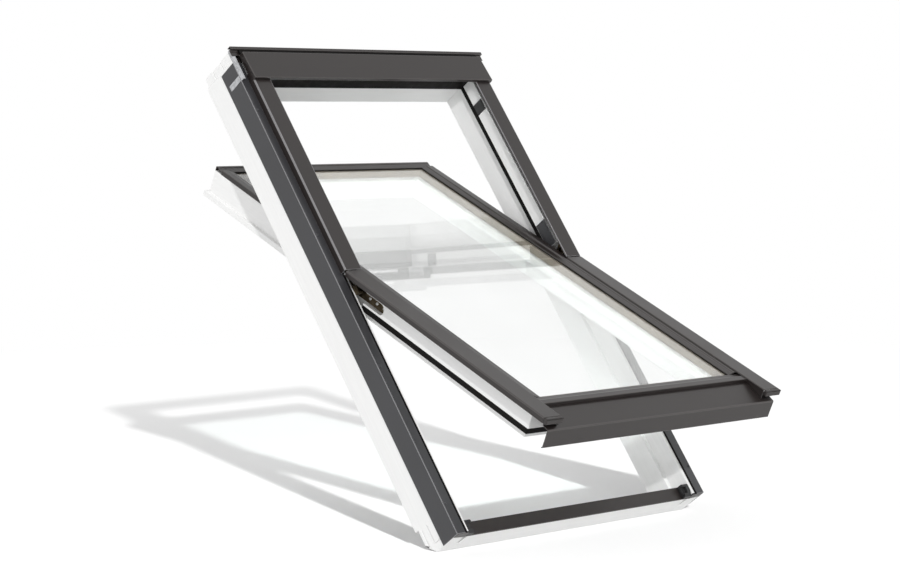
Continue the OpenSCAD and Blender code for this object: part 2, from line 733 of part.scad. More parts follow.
on_frame() hand(-1) frame_stile();  // frame_stile_left
on_frame() hand(1) frame_stile();  // frame_stile_right
on_frame() frame_head();
on_frame() frame_sill();
on_frame() hand(-1) side_cladding();  // side_cladding_left
on_frame() hand(1) side_cladding();  // side_cladding_right
on_frame() sill_cladding();
on_frame() head_flashing();
on_frame() hood();
on_frame() hood_seal();
on_frame() hand(-1) hood_end();  // hood_end_left
on_frame() hand(1) hood_end();  // hood_end_right
on_frame() hand(-1) upper_cover();  // upper_cover_left
on_frame() hand(1) upper_cover();  // upper_cover_right
on_frame() frame_gasket();
on_frame() hand(-1) rebate_seal();  // rebate_seal_left
on_frame() hand(1) rebate_seal();  // rebate_seal_right
on_frame() hand(-1) sill_corner();  // sill_corner_left
on_frame() hand(1) sill_corner();  // sill_corner_right
on_frame() hand(-1) stop_block();  // stop_block_left
on_frame() hand(1) stop_block();  // stop_block_right
on_frame() hand(-1) hinge_cover();  // hinge_cover_left
on_frame() hand(1) hinge_cover();  // hinge_cover_right
on_frame() hand(-1) hinge_track();  // hinge_track_left
on_frame() hand(1) hinge_track();  // hinge_track_right
on_frame() track_screws();
on_frame() cladding_screws();
on_frame() striker_plate();
on_sash() hand(-1) sash_stile();  // sash_stile_left
on_sash() hand(1) sash_stile();  // sash_stile_right
on_sash() sash_head();
on_sash() sash_foot();
on_sash() sash_gasket();
on_sash() inner_pane();
on_sash() outer_pane();
on_sash() pane_spacer();
on_sash() glazing_seal();
on_sash() hand(-1) bead_side();  // bead_left
on_sash() hand(1) bead_side();  // bead_right
on_sash() bead_head();
on_sash() bead_foot();
on_sash() apron();
on_sash() hand(-1) lower_cover();  // lower_cover_left
on_sash() hand(1) lower_cover();  // lower_cover_right
on_sash() hand(-1) cover_end();  // cover_end_left
on_sash() hand(1) cover_end();  // cover_end_right
on_sash() hand(-1) hinge_shoe();  // hinge_shoe_left
on_sash() hand(1) hinge_shoe();  // hinge_shoe_right
on_sash() shoe_screws();
on_sash() latch_case();
on_sash() handle_crank();
on_sash() handle_lever();
on_sash() latch_bolt();
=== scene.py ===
"""Looks of a centre-pivot roof window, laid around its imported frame."""

import json
import math

import bmesh
import bpy
from bpy.props import FloatProperty, FloatVectorProperty, PointerProperty
from mathutils import Matrix, Vector

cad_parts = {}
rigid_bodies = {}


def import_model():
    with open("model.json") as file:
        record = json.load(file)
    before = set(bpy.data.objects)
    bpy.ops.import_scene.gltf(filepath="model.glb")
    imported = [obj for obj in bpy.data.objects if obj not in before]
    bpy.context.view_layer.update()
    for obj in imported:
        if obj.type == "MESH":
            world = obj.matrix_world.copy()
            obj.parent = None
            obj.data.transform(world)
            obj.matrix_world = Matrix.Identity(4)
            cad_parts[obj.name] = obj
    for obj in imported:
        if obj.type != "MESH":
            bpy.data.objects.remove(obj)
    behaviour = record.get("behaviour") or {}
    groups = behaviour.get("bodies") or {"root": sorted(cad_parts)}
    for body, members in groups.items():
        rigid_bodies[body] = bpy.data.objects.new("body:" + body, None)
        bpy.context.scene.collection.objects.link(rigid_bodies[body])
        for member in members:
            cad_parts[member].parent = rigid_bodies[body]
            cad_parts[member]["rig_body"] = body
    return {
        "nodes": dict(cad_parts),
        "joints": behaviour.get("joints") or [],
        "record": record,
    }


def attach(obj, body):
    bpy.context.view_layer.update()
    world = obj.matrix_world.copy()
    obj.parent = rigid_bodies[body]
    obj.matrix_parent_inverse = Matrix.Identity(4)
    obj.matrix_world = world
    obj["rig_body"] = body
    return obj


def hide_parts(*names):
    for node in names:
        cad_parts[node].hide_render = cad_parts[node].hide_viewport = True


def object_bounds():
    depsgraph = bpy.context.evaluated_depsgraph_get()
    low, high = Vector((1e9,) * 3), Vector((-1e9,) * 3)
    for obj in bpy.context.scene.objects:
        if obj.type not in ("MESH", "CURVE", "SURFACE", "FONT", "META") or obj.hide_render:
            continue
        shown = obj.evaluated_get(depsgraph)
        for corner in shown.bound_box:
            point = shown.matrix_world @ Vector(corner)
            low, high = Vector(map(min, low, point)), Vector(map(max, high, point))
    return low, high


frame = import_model()
CAD_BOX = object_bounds()

bl_info = {
    "name": "Roof Window Looks",
    "version": (1, 0, 0),
    "blender": (4, 5, 0),
    "location": "3D View > Sidebar > Roof Window",
    "description": "Finishes the timber, cladding, glazing, seals and fittings of a roof window",
    "category": "Object",
}

MM = 0.001

MOUNTS = {mount["name"]: mount for mount in frame["record"]["mounts"]}
JOINTS = {joint["name"]: joint for joint in frame["joints"]}

# Window axes: X across, Y up the slope, Z out of the roof, with Z = 0 at the edge of the side cladding
# and the sill mount at this depth below it
SEAT_DEPTH = 66 * MM
UP_SLOPE = -Vector(MOUNTS["sill_face"]["axis"]).normalized()
OUTWARD = Vector((0, -UP_SLOPE.z, UP_SLOPE.y))
PITCH = math.atan2(UP_SLOPE.z, UP_SLOPE.y)
PIVOT = Vector(JOINTS["sash_pivot"]["pos_m"])
SASH_TURN = math.radians(JOINTS["sash_pivot"]["range_deg"][0])
FRAME_AXES = Matrix.Translation(OUTWARD * SEAT_DEPTH) @ Matrix.Rotation(PITCH, 4, "X")
SASH_AXES = (
    Matrix.Translation(PIVOT)
    @ Matrix.Rotation(SASH_TURN, 4, "X")
    @ Matrix.Translation(-PIVOT)
    @ FRAME_AXES
)
AXES = {"frame": FRAME_AXES, "sash": SASH_AXES}
TILT = {"frame": PITCH, "sash": PITCH + SASH_TURN}
HANDS = {"left": -1, "right": 1}


def pair(name):
    """The left and the right node of a handed pair."""
    return [f"{name}_{side}" for side in HANDS]


class FinishColours(bpy.types.PropertyGroup):
    """Colours of the window's finishes."""

    lacquer: FloatVectorProperty(
        name="Lacquer", description="White lacquer of the timber",
        subtype="COLOR", size=3, min=0, max=1, default=(0.86, 0.86, 0.855))
    cover_coat: FloatVectorProperty(
        name="Cover coat", description="Coil coating of the covers, hood and apron",
        subtype="COLOR", size=3, min=0, max=1, default=(0.0195, 0.0155, 0.0145))
    flange_coat: FloatVectorProperty(
        name="Flange coat", description="Coil coating of the side cladding",
        subtype="COLOR", size=3, min=0, max=1, default=(0.040, 0.040, 0.0435))
    # Painted highlights: the three fold colours below are lighter than the coating itself and stand for
    # the light that catches the rounded folds
    cover_fold_highlight: FloatVectorProperty(
        name="Cover fold", description="Coating of the upper covers where a fold has polished it",
        subtype="COLOR", size=3, min=0, max=1, default=(0.21, 0.205, 0.21))
    # Painted highlight, dimmer, on the folds of the hood, apron and glazing cladding
    soft_fold_highlight: FloatVectorProperty(
        name="Soft fold", description="Coating in the wider folds of the hood, apron and glazing cladding",
        subtype="COLOR", size=3, min=0, max=1, default=(0.062, 0.056, 0.054))
    # Painted highlight on the folds of the side cladding
    flange_fold_highlight: FloatVectorProperty(
        name="Flange fold", description="Coating of the side cladding where a fold has polished it",
        subtype="COLOR", size=3, min=0, max=1, default=(0.25, 0.247, 0.255))
    rubber: FloatVectorProperty(
        name="Rubber", description="Extruded seals",
        subtype="COLOR", size=3, min=0, max=1, default=(0.0045, 0.0038, 0.0036))
    moulding: FloatVectorProperty(
        name="Moulding", description="Black moulded corner blocks",
        subtype="COLOR", size=3, min=0, max=1, default=(0.014, 0.014, 0.015))
    glass: FloatVectorProperty(
        name="Glass", description="Tint of the panes",
        subtype="COLOR", size=3, min=0, max=1, default=(0.974, 0.979, 0.976))
    spacer: FloatVectorProperty(
        name="Spacer", description="Edge spacer between the panes",
        subtype="COLOR", size=3, min=0, max=1, default=(0.25, 0.22, 0.18))
    passivation: FloatVectorProperty(
        name="Passivation", description="Yellow passivated zinc of the hinges",
        subtype="COLOR", size=3, min=0, max=1, default=(0.12, 0.094, 0.06))
    zinc: FloatVectorProperty(
        name="Zinc", description="Bright zinc of the screws and latch",
        subtype="COLOR", size=3, min=0, max=1, default=(0.62, 0.62, 0.61))
    galvanising: FloatVectorProperty(
        name="Galvanising", description="Dull galvanised edge angles and plate",
        subtype="COLOR", size=3, min=0, max=1, default=(0.43, 0.435, 0.45))
    anodising: FloatVectorProperty(
        name="Anodising", description="Satin anodised handle",
        subtype="COLOR", size=3, min=0, max=1, default=(0.68, 0.68, 0.69))


class EdgeSizes(bpy.types.PropertyGroup):
    """Edge radii left by the tools that made the pieces."""

    timber: FloatProperty(
        name="Timber", description="Rounding of the planed timber",
        unit="LENGTH", min=0, default=1.6 * MM)
    fold: FloatProperty(
        name="Fold", description="Outer radius of the folds in the sheet",
        unit="LENGTH", min=0, default=1.6 * MM)
    seal: FloatProperty(
        name="Seal", description="Rounding of the extruded seals",
        unit="LENGTH", min=0, default=0.8 * MM)
    moulding: FloatProperty(
        name="Moulding", description="Rounding of the moulded pieces",
        unit="LENGTH", min=0, default=2.5 * MM)
    metal: FloatProperty(
        name="Metal", description="Rounding of the cast and turned metal",
        unit="LENGTH", min=0, default=0.4 * MM)
    glass: FloatProperty(
        name="Glass", description="Ground arris of the panes",
        unit="LENGTH", min=0, default=0.4 * MM)


class StageSettings(bpy.types.PropertyGroup):
    """Camera, light and floor of the studio."""

    camera_place: FloatVectorProperty(
        name="Camera place", description="Where the camera stands",
        subtype="TRANSLATION", size=3, default=(-3.8033, -3.5791, 0.9058))
    camera_look: FloatVectorProperty(
        name="Camera look", description="Direction in which the camera looks",
        subtype="DIRECTION", size=3, default=(0.6914, 0.7187, -0.0734))
    lens: FloatProperty(
        name="Lens", description="Focal length in millimetres on a 36 mm sensor",
        min=20, max=300, default=96.75)
    key_from: FloatVectorProperty(
        name="Key from", description="Direction from the window to the key light",
        subtype="DIRECTION", size=3, default=(-0.95, -1.73, 1.0))
    key_strength: FloatProperty(
        name="Key strength", description="Strength of the key light",
        min=0, default=1.6)
    key_angle: FloatProperty(
        name="Key angle", description="Apparent size of the key light",
        subtype="ANGLE", min=0, default=math.radians(1.8))
    room_strength: FloatProperty(
        name="Room strength", description="Strength of the white room as a light",
        min=0, default=0.62)
    fill_power: FloatProperty(
        name="Fill power", description="Power of the soft light on the left",
        unit="POWER", min=0, default=11)
    floor_key_strength: FloatProperty(
        name="Floor key strength", description="Strength of the key light that falls on the floor alone",
        min=0, default=3.0)
    floor_shown: FloatProperty(
        name="Floor shown", description="Paleness of the floor as the camera sees it",
        min=0, max=1, default=0.82)
    floor_bounce: FloatProperty(
        name="Floor bounce", description="Paleness of the floor as the window's light finds it",
        min=0, max=1, default=0.62)


def settings():
    """The window's settings, kept in the scene."""
    return bpy.context.scene.roof_window


class WindowSettings(bpy.types.PropertyGroup):
    """All the settings of the roof window."""

    colours: PointerProperty(type=FinishColours)
    edges: PointerProperty(type=EdgeSizes)
    stage: PointerProperty(type=StageSettings)


# Materials

# Part of a noise's range that most of a surface falls in
NOISE_LOW, NOISE_HIGH = 0.3, 0.7
# What the panes leave of a lamp's light
GLASS_SHADOW = (0.93, 0.95, 0.945, 1)


def grey(level):
    """A neutral colour of the given paleness."""
    return (level, level, level, 1)


class Finish:
    """A material under construction, with its main shader."""

    def __init__(self, name):
        self.material = bpy.data.materials.new(name)
        self.material.use_nodes = True
        self.tree = self.material.node_tree
        self.shader = self.tree.nodes["Principled BSDF"]
        self.output = self.tree.nodes["Material Output"]

    def add(self, kind, inputs=None, **options):
        """A new node with its options and inputs; an input may be a value or another node's socket."""
        node = self.tree.nodes.new(kind)
        for key, value in options.items():
            setattr(node, key, value)
        for key, value in (inputs or {}).items():
            self.feed(node, key, value)
        return node

    def feed(self, node, key, value):
        """Sets an input to a value, or links it to another node's socket."""
        if isinstance(value, bpy.types.NodeSocket):
            self.tree.links.new(value, node.inputs[key])
        else:
            node.inputs[key].default_value = value

    def set(self, **values):
        """Sets the main shader's inputs; an underscore stands for a space."""
        for key, value in values.items():
            self.feed(self.shader, key.replace("_", " "), value)

    def grain_place(self, tilt=0.0, stretch=(1, 1, 1)):
        """Surface coordinates in the window's axes, stretched along them."""
        place = self.add("ShaderNodeTexCoord")
        turned = self.add("ShaderNodeMapping", {
            "Vector": place.outputs["Object"], "Rotation": (-tilt, 0, 0)})
        stretched = self.add("ShaderNodeMapping", {
            "Vector": turned.outputs["Vector"], "Scale": stretch})
        return stretched.outputs["Vector"]

    def noise(self, place, scale, detail=3.0, roughness=0.5):
        """Noise over the surface, from 0 to 1."""
        texture = self.add("ShaderNodeTexNoise", {
            "Vector": place, "Scale": scale, "Detail": detail, "Roughness": roughness})
        return texture.outputs["Fac"]

    def spread(self, value, low, high):
        """A noise value, mapped to a range of numbers."""
        mapped = self.add("ShaderNodeMapRange", {
            "Value": value, "From Min": NOISE_LOW, "From Max": NOISE_HIGH, "To Min": low, "To Max": high})
        return mapped.outputs["Result"]

    def tones(self, value, colour, change):
        """A colour that varies by a share of itself with a noise value."""
        ramp = self.add("ShaderNodeValToRGB", {"Fac": value})
        steps = zip(ramp.color_ramp.elements, (NOISE_LOW, NOISE_HIGH), (1 - change, 1 + change))
        for stop, place, factor in steps:
            stop.position = place
            stop.color = (*(min(1, channel * factor) for channel in colour), 1)
        return ramp.outputs["Color"]

    def bump(self, height, strength, distance):
        """Relief from a height, fed to the main shader."""
        relief = self.add("ShaderNodeBump", {"Height": height, "Strength": strength, "Distance": distance})
        self.set(Normal=relief.outputs["Normal"])


def lacquered_timber(body, lengthwise):
    """White lacquer that lets a little of the grain through, running along the piece."""
    finish = Finish(f"lacquered_timber_{body}_{'long' if lengthwise else 'cross'}")
    along, around = 3, 70
    stretch = (around, along, around) if lengthwise else (along, around, around)
    place = finish.grain_place(TILT[body], stretch)
    grain = finish.noise(place, scale=3.0, detail=5.0, roughness=0.6)
    clouds = finish.noise(finish.grain_place(), scale=5.0, detail=2.0)
    finish.set(
        Base_Color=finish.tones(grain, settings().colours.lacquer, change=0.022),
        Roughness=finish.spread(clouds, low=0.3, high=0.4),
        Specular_IOR_Level=0.45)
    finish.bump(grain, strength=0.18, distance=0.14 * MM)
    return finish.material


def coated_sheet(name, colour):
    """Matt coil coating with a fine orange-peel surface."""
    finish = Finish(name)
    place = finish.grain_place()
    peel = finish.noise(place, scale=1300.0, detail=2.0)
    clouds = finish.noise(place, scale=9.0, detail=3.0)
    finish.set(
        Base_Color=finish.tones(clouds, colour, change=0.05),
        Roughness=finish.spread(clouds, low=0.30, high=0.37),
        Specular_IOR_Level=0.45)
    finish.bump(peel, strength=0.1, distance=0.1 * MM)
    return finish.material


def extruded_rubber():
    """Black rubber with faint drawing lines and a dusty bloom."""
    finish = Finish("extruded_rubber")
    place = finish.grain_place()
    bloom = finish.noise(place, scale=60.0, detail=4.0)
    skin = finish.noise(place, scale=1800.0, detail=2.0)
    finish.set(
        Base_Color=finish.tones(bloom, settings().colours.rubber, change=0.35),
        Roughness=finish.spread(bloom, low=0.55, high=0.75),
        Specular_IOR_Level=0.12)
    finish.bump(skin, strength=0.2, distance=0.08 * MM)
    return finish.material


def spark_eroded_plastic(name, colour):
    """Moulded plastic with the fine texture of its tool."""
    finish = Finish(name)
    place = finish.grain_place()
    pits = finish.noise(place, scale=2200.0, detail=3.0)
    patches = finish.noise(place, scale=40.0, detail=2.0)
    finish.set(
        Base_Color=finish.tones(patches, colour, change=0.12),
        Roughness=finish.spread(patches, low=0.42, high=0.55))
    finish.bump(pits, strength=0.3, distance=0.08 * MM)
    return finish.material


def float_glass():
    """Clear glass that lets the lamps through, with the faintest film on it."""
    finish = Finish("float_glass")
    film = finish.noise(finish.grain_place(), scale=6.0, detail=3.0)
    finish.set(
        Base_Color=finish.tones(film, settings().colours.glass, change=0.01),
        Roughness=0.0,
        IOR=1.5,
        Transmission_Weight=1.0)
    path = finish.add("ShaderNodeLightPath")
    clear = finish.add("ShaderNodeBsdfTransparent", {"Color": GLASS_SHADOW})
    mix = finish.add("ShaderNodeMixShader", {
        0: path.outputs["Is Shadow Ray"], 1: finish.shader.outputs["BSDF"], 2: clear.outputs["BSDF"]})
    finish.feed(finish.output, "Surface", mix.outputs["Shader"])
    return finish.material


def warm_edge_spacer():
    """Matt spacer profile with its row of drying holes."""
    finish = Finish("warm_edge_spacer")
    place = finish.grain_place(TILT["sash"])
    dots = finish.add("ShaderNodeTexVoronoi", {"Vector": place, "Scale": 260.0, "Randomness": 0.0})
    dust = finish.noise(place, scale=80.0, detail=3.0)
    finish.set(
        Base_Color=finish.tones(dust, settings().colours.spacer, change=0.08),
        Roughness=finish.spread(dust, low=0.45, high=0.6))
    finish.bump(dots.outputs["Distance"], strength=0.25, distance=0.2 * MM)
    return finish.material


def passivated_zinc():
    """Yellow passivated zinc, cloudy and slightly iridescent in tone."""
    finish = Finish("passivated_zinc")
    place = finish.grain_place()
    clouds = finish.noise(place, scale=70.0, detail=4.0, roughness=0.6)
    cast = finish.noise(place, scale=900.0, detail=3.0)
    finish.set(
        Base_Color=finish.tones(clouds, settings().colours.passivation, change=0.3),
        Metallic=1.0,
        Roughness=finish.spread(clouds, low=0.32, high=0.5))
    finish.bump(cast, strength=0.15, distance=0.1 * MM)
    return finish.material


def bright_zinc():
    """Bright zinc plating with fine spangle."""
    finish = Finish("bright_zinc")
    place = finish.grain_place()
    spangle = finish.noise(place, scale=240.0, detail=3.0)
    finish.set(
        Base_Color=finish.tones(spangle, settings().colours.zinc, change=0.08),
        Metallic=1.0,
        Roughness=finish.spread(spangle, low=0.28, high=0.42))
    finish.bump(spangle, strength=0.08, distance=0.05 * MM)
    return finish.material


def dull_galvanising():
    """Dull grey zinc on folded steel, mottled with its crystals."""
    finish = Finish("dull_galvanising")
    place = finish.grain_place()
    crystals = finish.add("ShaderNodeTexVoronoi", {"Vector": place, "Scale": 170.0}).outputs["Color"]
    tone = finish.add("ShaderNodeRGBToBW", {"Color": crystals}).outputs["Val"]
    finish.set(
        Base_Color=finish.tones(tone, settings().colours.galvanising, change=0.14),
        Metallic=0.2,
        Roughness=finish.spread(tone, low=0.42, high=0.58))
    finish.bump(finish.noise(place, scale=700.0, detail=2.0), strength=0.1, distance=0.05 * MM)
    return finish.material


def anodised_lever():
    """Satin anodised aluminium, brushed along the lever."""
    finish = Finish("anodised_lever")
    along, around = 4, 600
    place = finish.grain_place(TILT["sash"], (along, around, around))
    brush = finish.noise(place, scale=3.0, detail=3.0)
    finish.set(
        Base_Color=finish.tones(brush, settings().colours.anodising, change=0.06),
        Metallic=1.0,
        Roughness=finish.spread(brush, low=0.26, high=0.38))
    finish.bump(brush, strength=0.1, distance=0.03 * MM)
    return finish.material


# Pieces

# An edge is rounded if it bends by more than this
EDGE_ANGLE = math.radians(28)
# Share of the room beside an edge that its rounding takes, and where along the edge the room is measured
EDGE_SHARE = 0.45
EDGE_SAMPLES = (0.1, 0.5, 0.9)
# Points closer than this are one, and faces that bend by less than this are one
WELD = 0.005 * MM
FLAT_ANGLE = math.radians(0.5)
# How much a large face outweighs the roundings beside it in the shading
FLAT_WEIGHT = 100


def ends(loop):
    """The two ends of a loop's edge, in the loop's direction."""
    return loop.vert.co, loop.link_loop_next.vert.co


def span_beside(face, edge):
    """How far a face reaches straight across from one of its edges, up to the edge's own length."""
    home = next(loop for loop in face.loops if loop.edge == edge)
    start, end = ends(home)
    along = (end - start).normalized()
    away = face.normal.cross(along)
    reach = [edge.calc_length()]
    for share in EDGE_SAMPLES:
        origin = start.lerp(end, share)
        for loop in face.loops:
            near, far = (point - origin for point in ends(loop))
            before, after = near.dot(along), far.dot(along)
            if loop != home and (before > 0) != (after > 0):
                across = near.lerp(far, before / (before - after)).dot(away)
                if across > 0:
                    reach.append(across)
    return min(reach)


def edge_weights(mesh, width):
    """Gives each sharp edge the share of the rounding that its two faces have room for."""
    shape = bmesh.new()
    shape.from_mesh(mesh)
    weight = shape.edges.layers.float.new("bevel_weight_edge")
    for edge in shape.edges:
        if len(edge.link_faces) == 2 and edge.calc_face_angle() > EDGE_ANGLE:
            room = EDGE_SHARE * min(span_beside(face, edge) for face in edge.link_faces)
            edge[weight] = min(1.0, room / width)
    shape.to_mesh(mesh)
    shape.free()


def rounded(piece, width, segments=3):
    """Rounds a piece's edges with a modifier and smooths its shading."""
    edge_weights(piece.data, width)
    bevel = piece.modifiers.new("edges", "BEVEL")
    bevel.width = width
    bevel.segments = segments
    bevel.limit_method = "WEIGHT"
    bevel.use_clamp_overlap = False
    piece.data.shade_smooth()
    flats = piece.modifiers.new("flats", "WEIGHTED_NORMAL")
    flats.mode = "FACE_AREA"
    flats.weight = FLAT_WEIGHT


def plain_faces(mesh):
    """Joins a solid's triangles into its true flat faces."""
    shape = bmesh.new()
    shape.from_mesh(mesh)
    bmesh.ops.remove_doubles(shape, verts=shape.verts, dist=WELD)
    bmesh.ops.dissolve_limit(shape, angle_limit=FLAT_ANGLE, verts=shape.verts, edges=shape.edges)
    bmesh.ops.recalc_face_normals(shape, faces=shape.faces)
    shape.to_mesh(mesh)
    shape.free()


def placed(piece, body, material, slot):
    """Puts a finished piece in the scene, on its body."""
    bpy.context.scene.collection.objects.link(piece)
    piece.data.materials.clear()
    piece.data.materials.append(material)
    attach(piece, body)
    return piece


def add_bar(shape, section, start, end, across=False):
    """Adds a bar of the given section in millimetres, which runs up the slope, or across the window."""
    rings = []
    for run in (start, end):
        points = [(run, a, b) if across else (a, run, b) for a, b in section]
        rings.append([shape.verts.new(Vector(point) * MM) for point in points])
    for k in range(len(section)):
        shape.faces.new((rings[0][k - 1], rings[0][k], rings[1][k], rings[1][k - 1]))
    for ring in rings:
        shape.faces.new(ring)


def bar(section, start, end, across=False):
    """A mesh of one bar, as add_bar makes it."""
    shape = bmesh.new()
    add_bar(shape, section, start, end, across)
    return shape


def carved(mesh, shape, body):
    """A mesh with a shape cut out of it; the shape was drawn in the body's own axes."""
    shape.transform(AXES[body])
    bmesh.ops.recalc_face_normals(shape, faces=shape.faces)
    cutter = bpy.data.meshes.new("cutter")
    shape.to_mesh(cutter)
    shape.free()
    work, tool = (bpy.data.objects.new(item.name, item) for item in (mesh, cutter))
    for item in (work, tool):
        bpy.context.scene.collection.objects.link(item)
    cut = work.modifiers.new("cut", "BOOLEAN")
    cut.operation = "DIFFERENCE"
    cut.object = tool
    bpy.context.view_layer.update()
    graph = bpy.context.evaluated_depsgraph_get()
    result = bpy.data.meshes.new_from_object(work.evaluated_get(graph))
    for item in (work, tool):
        bpy.data.objects.remove(item)
    return result


def dressed(node, material, slot, edge, segments=3, edge_highlight=None, cuts=None):
    """A node's own form with rounded edges, which stands for the node; the rounded edges may carry a
    lighter material as a painted highlight.
    """
    solid = frame["nodes"][node]
    mesh = solid.data.copy()
    mesh.name = f"{node}_finished"
    plain_faces(mesh)
    if cuts:
        mesh = carved(mesh, cuts, solid["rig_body"])
    piece = bpy.data.objects.new(f"{node}_finished", mesh)
    placed(piece, solid["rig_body"], material, slot)
    rounded(piece, edge, segments)
    # The second material paints a highlight on the rounded edges
    if edge_highlight:
        piece.data.materials.append(edge_highlight)
        piece.modifiers["edges"].material = 1
    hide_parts(node)
    return piece


def built(name, shape, body, material, slot):
    """A piece from a mesh that was drawn in its body's own axes."""
    mesh = bpy.data.meshes.new(name)
    shape.transform(AXES[body])
    bmesh.ops.recalc_face_normals(shape, faces=shape.faces)
    shape.to_mesh(mesh)
    shape.free()
    return placed(bpy.data.objects.new(name, mesh), body, material, slot)


def islands(node):
    """The separate bodies of a node, each as its points in the frame's axes."""
    shape = bmesh.new()
    shape.from_mesh(frame["nodes"][node].data)
    bmesh.ops.remove_doubles(shape, verts=shape.verts, dist=WELD)
    shape.transform(FRAME_AXES.inverted())
    seen = set()
    for first in shape.verts:
        if first in seen:
            continue
        seen.add(first)
        group, queue = [], [first]
        while queue:
            vert = queue.pop()
            group.append(vert.co.copy())
            beside = [edge.other_vert(vert) for edge in vert.link_edges]
            fresh = [other for other in beside if other not in seen]
            seen.update(fresh)
            queue.extend(fresh)
        yield group
    shape.free()


# Points round a screw head and out from its middle
HEAD_TURNS = 48
HEAD_RINGS = 10
# Curve of the dome, which would fall to its seat at the rim if this were 1
DOME_FALL = 0.9
# Cross recess: half its width and its reach as shares of the head's radius, its depth as one of the height
RECESS_WIDTH = 0.13
RECESS_REACH = 0.6
RECESS_DEPTH = 0.5


def screw_head(shape, centre, seat, top, radius):
    """A domed screw head with a cross recess, standing on its seat."""
    rings = []
    for k in range(HEAD_RINGS + 1):
        reach = radius * k / HEAD_RINGS
        dome = seat + (top - seat) * math.sqrt(1 - DOME_FALL * (k / HEAD_RINGS) ** 2)
        ring = []
        for turn in range(HEAD_TURNS):
            angle = math.tau * turn / HEAD_TURNS
            x, v = reach * math.cos(angle), reach * math.sin(angle)
            in_arm = min(abs(x), abs(v)) < RECESS_WIDTH * radius
            in_cross = in_arm and reach < RECESS_REACH * radius
            sunk = RECESS_DEPTH * (top - seat) if in_cross else 0
            ring.append(shape.verts.new((centre.x + x, centre.y + v, dome - sunk)))
        rings.append(ring)
    rings.append([shape.verts.new((vert.co.x, vert.co.y, seat)) for vert in rings[-1]])
    for inner, outer in zip(rings, rings[1:]):
        for k in range(HEAD_TURNS):
            shape.faces.new((inner[k - 1], outer[k - 1], outer[k], inner[k]))
    shape.faces.new(rings[-1])
    bmesh.ops.remove_doubles(shape, verts=rings[0], dist=WELD)


def cladding_screw_heads(material):
    """The screws of the side cladding, with their recessed heads."""
    shape = bmesh.new()
    for points in islands("cladding_screws"):
        top = max(point.z for point in points)
        crown = [point for point in points if point.z > 0]
        centre = sum(crown, Vector()) / len(crown)
        radius = max((point - centre).xy.length for point in crown)
        screw_head(shape, centre, 0, top, radius)
    heads = built("cladding_screw_heads", shape, "frame", material, "grey_sheet")
    heads.data.shade_smooth()
    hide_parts("cladding_screws")


def both_sides(name, section, start, end, material, slot, edge):
    """A bar up the slope on each side of the frame; the section is the right one's."""
    for side, hand in HANDS.items():
        shape = bar([(hand * x, n) for x, n in section], start, end)
        rounded(built(f"{name}_{side}", shape, "frame", material, slot), edge)


# Slots of the corner joint in the outer face of the side timber, as (low, high) up the slope and out
JOINT_SLOTS = (((21, 61), (-73.5, -71.5)), ((20, 60), (-93, -91)), ((16.5, 18.5), (-74, -50)))
JOINT_DEPTH = 3
# Outer and inner face of the side timber, from the middle of the window
TIMBER_OUT = 388.5
TIMBER_IN = 345


def joint_slots(hand):
    """The slots that the corner joint shows at the lower end of a side timber."""
    shape = bmesh.new()
    outer, inner = hand * (TIMBER_OUT + JOINT_DEPTH), hand * (TIMBER_OUT - JOINT_DEPTH)
    for run, (low, high) in JOINT_SLOTS:
        add_bar(shape, [(inner, low), (outer, low), (outer, high), (inner, high)], *run)
    return shape


# Upper end of the side timber, past the head: joint fingers as (inner, outer, end up the slope)
HORN_FINGERS = ((-104, -72.4, 1242), (-71.8, -38.4, 1239.5), (-37.8, -2, 1241))
HORN_START = 1219.6


def timber_horns(material):
    """The ends of the side timber above the head, with the fingers of the corner joint."""
    for side, hand in HANDS.items():
        shape = bmesh.new()
        for low, high, end in HORN_FINGERS:
            section = [(hand * TIMBER_IN, low), (hand * TIMBER_OUT, low),
                       (hand * TIMBER_OUT, high), (hand * TIMBER_IN, high)]
            add_bar(shape, section, HORN_START, end)
        horn = built(f"timber_horn_{side}", shape, "frame", material, "white_timber")
        rounded(horn, settings().edges.timber)


# Sheet over the horns, with a back edge turned up to the hood: outline up the slope and out
CAP_OUTLINE = ((1211.2, -1.5), (1241, -1.5), (1241, 8.2), (1239.5, 8.2), (1239.5, 0), (1211.2, 0))
CAP_ACROSS = (345.2, 383.3)


def horn_caps(material):
    """The sheet that closes the hood's corners over the timber horns."""
    for side, hand in HANDS.items():
        shape = bar(CAP_OUTLINE, *(hand * x for x in CAP_ACROSS), across=True)
        rounded(built(f"horn_cap_{side}", shape, "frame", material, "grey_sheet"), settings().edges.metal)


# Sections across the window and out of it, with their runs up the slope; the plate is on the left side
# and the others are drawn for the right
ANGLE_END = ((388.5, 0), (390, 0), (390, 8.2), (383.5, 8.2), (383.5, 6.7), (388.5, 6.7))
ANGLE_END_RUN = (1222, 1242)
SILL_END = ((388.4, -1.5), (388.4, -16.6), (354, -21.5), (354, -1.5))
SILL_END_RUN = (-0.6, 0)
REBATE_SEAL = ((360, -1.5), (366, -1.5), (366, 0.4), (363.5, 1), (360.5, 0.5))
PLATE = ((-390, -42), (-390, -1.8), (-390.6, -1.8), (-390.6, -42))
PLATE_RUN = (1161, 1175)


def rebate_seals(material):
    """The low seals along the rebates of the side timber, below the pivots."""
    for side, hand in HANDS.items():
        runs = [point.y / MM for group in islands(f"rebate_seal_{side}") for point in group]
        shape = bar([(hand * x, n) for x, n in REBATE_SEAL], min(runs), max(runs))
        seal = built(f"rebate_seal_{side}_finished", shape, "frame", material, "black_rubber")
        rounded(seal, settings().edges.seal)
        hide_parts(f"rebate_seal_{side}")


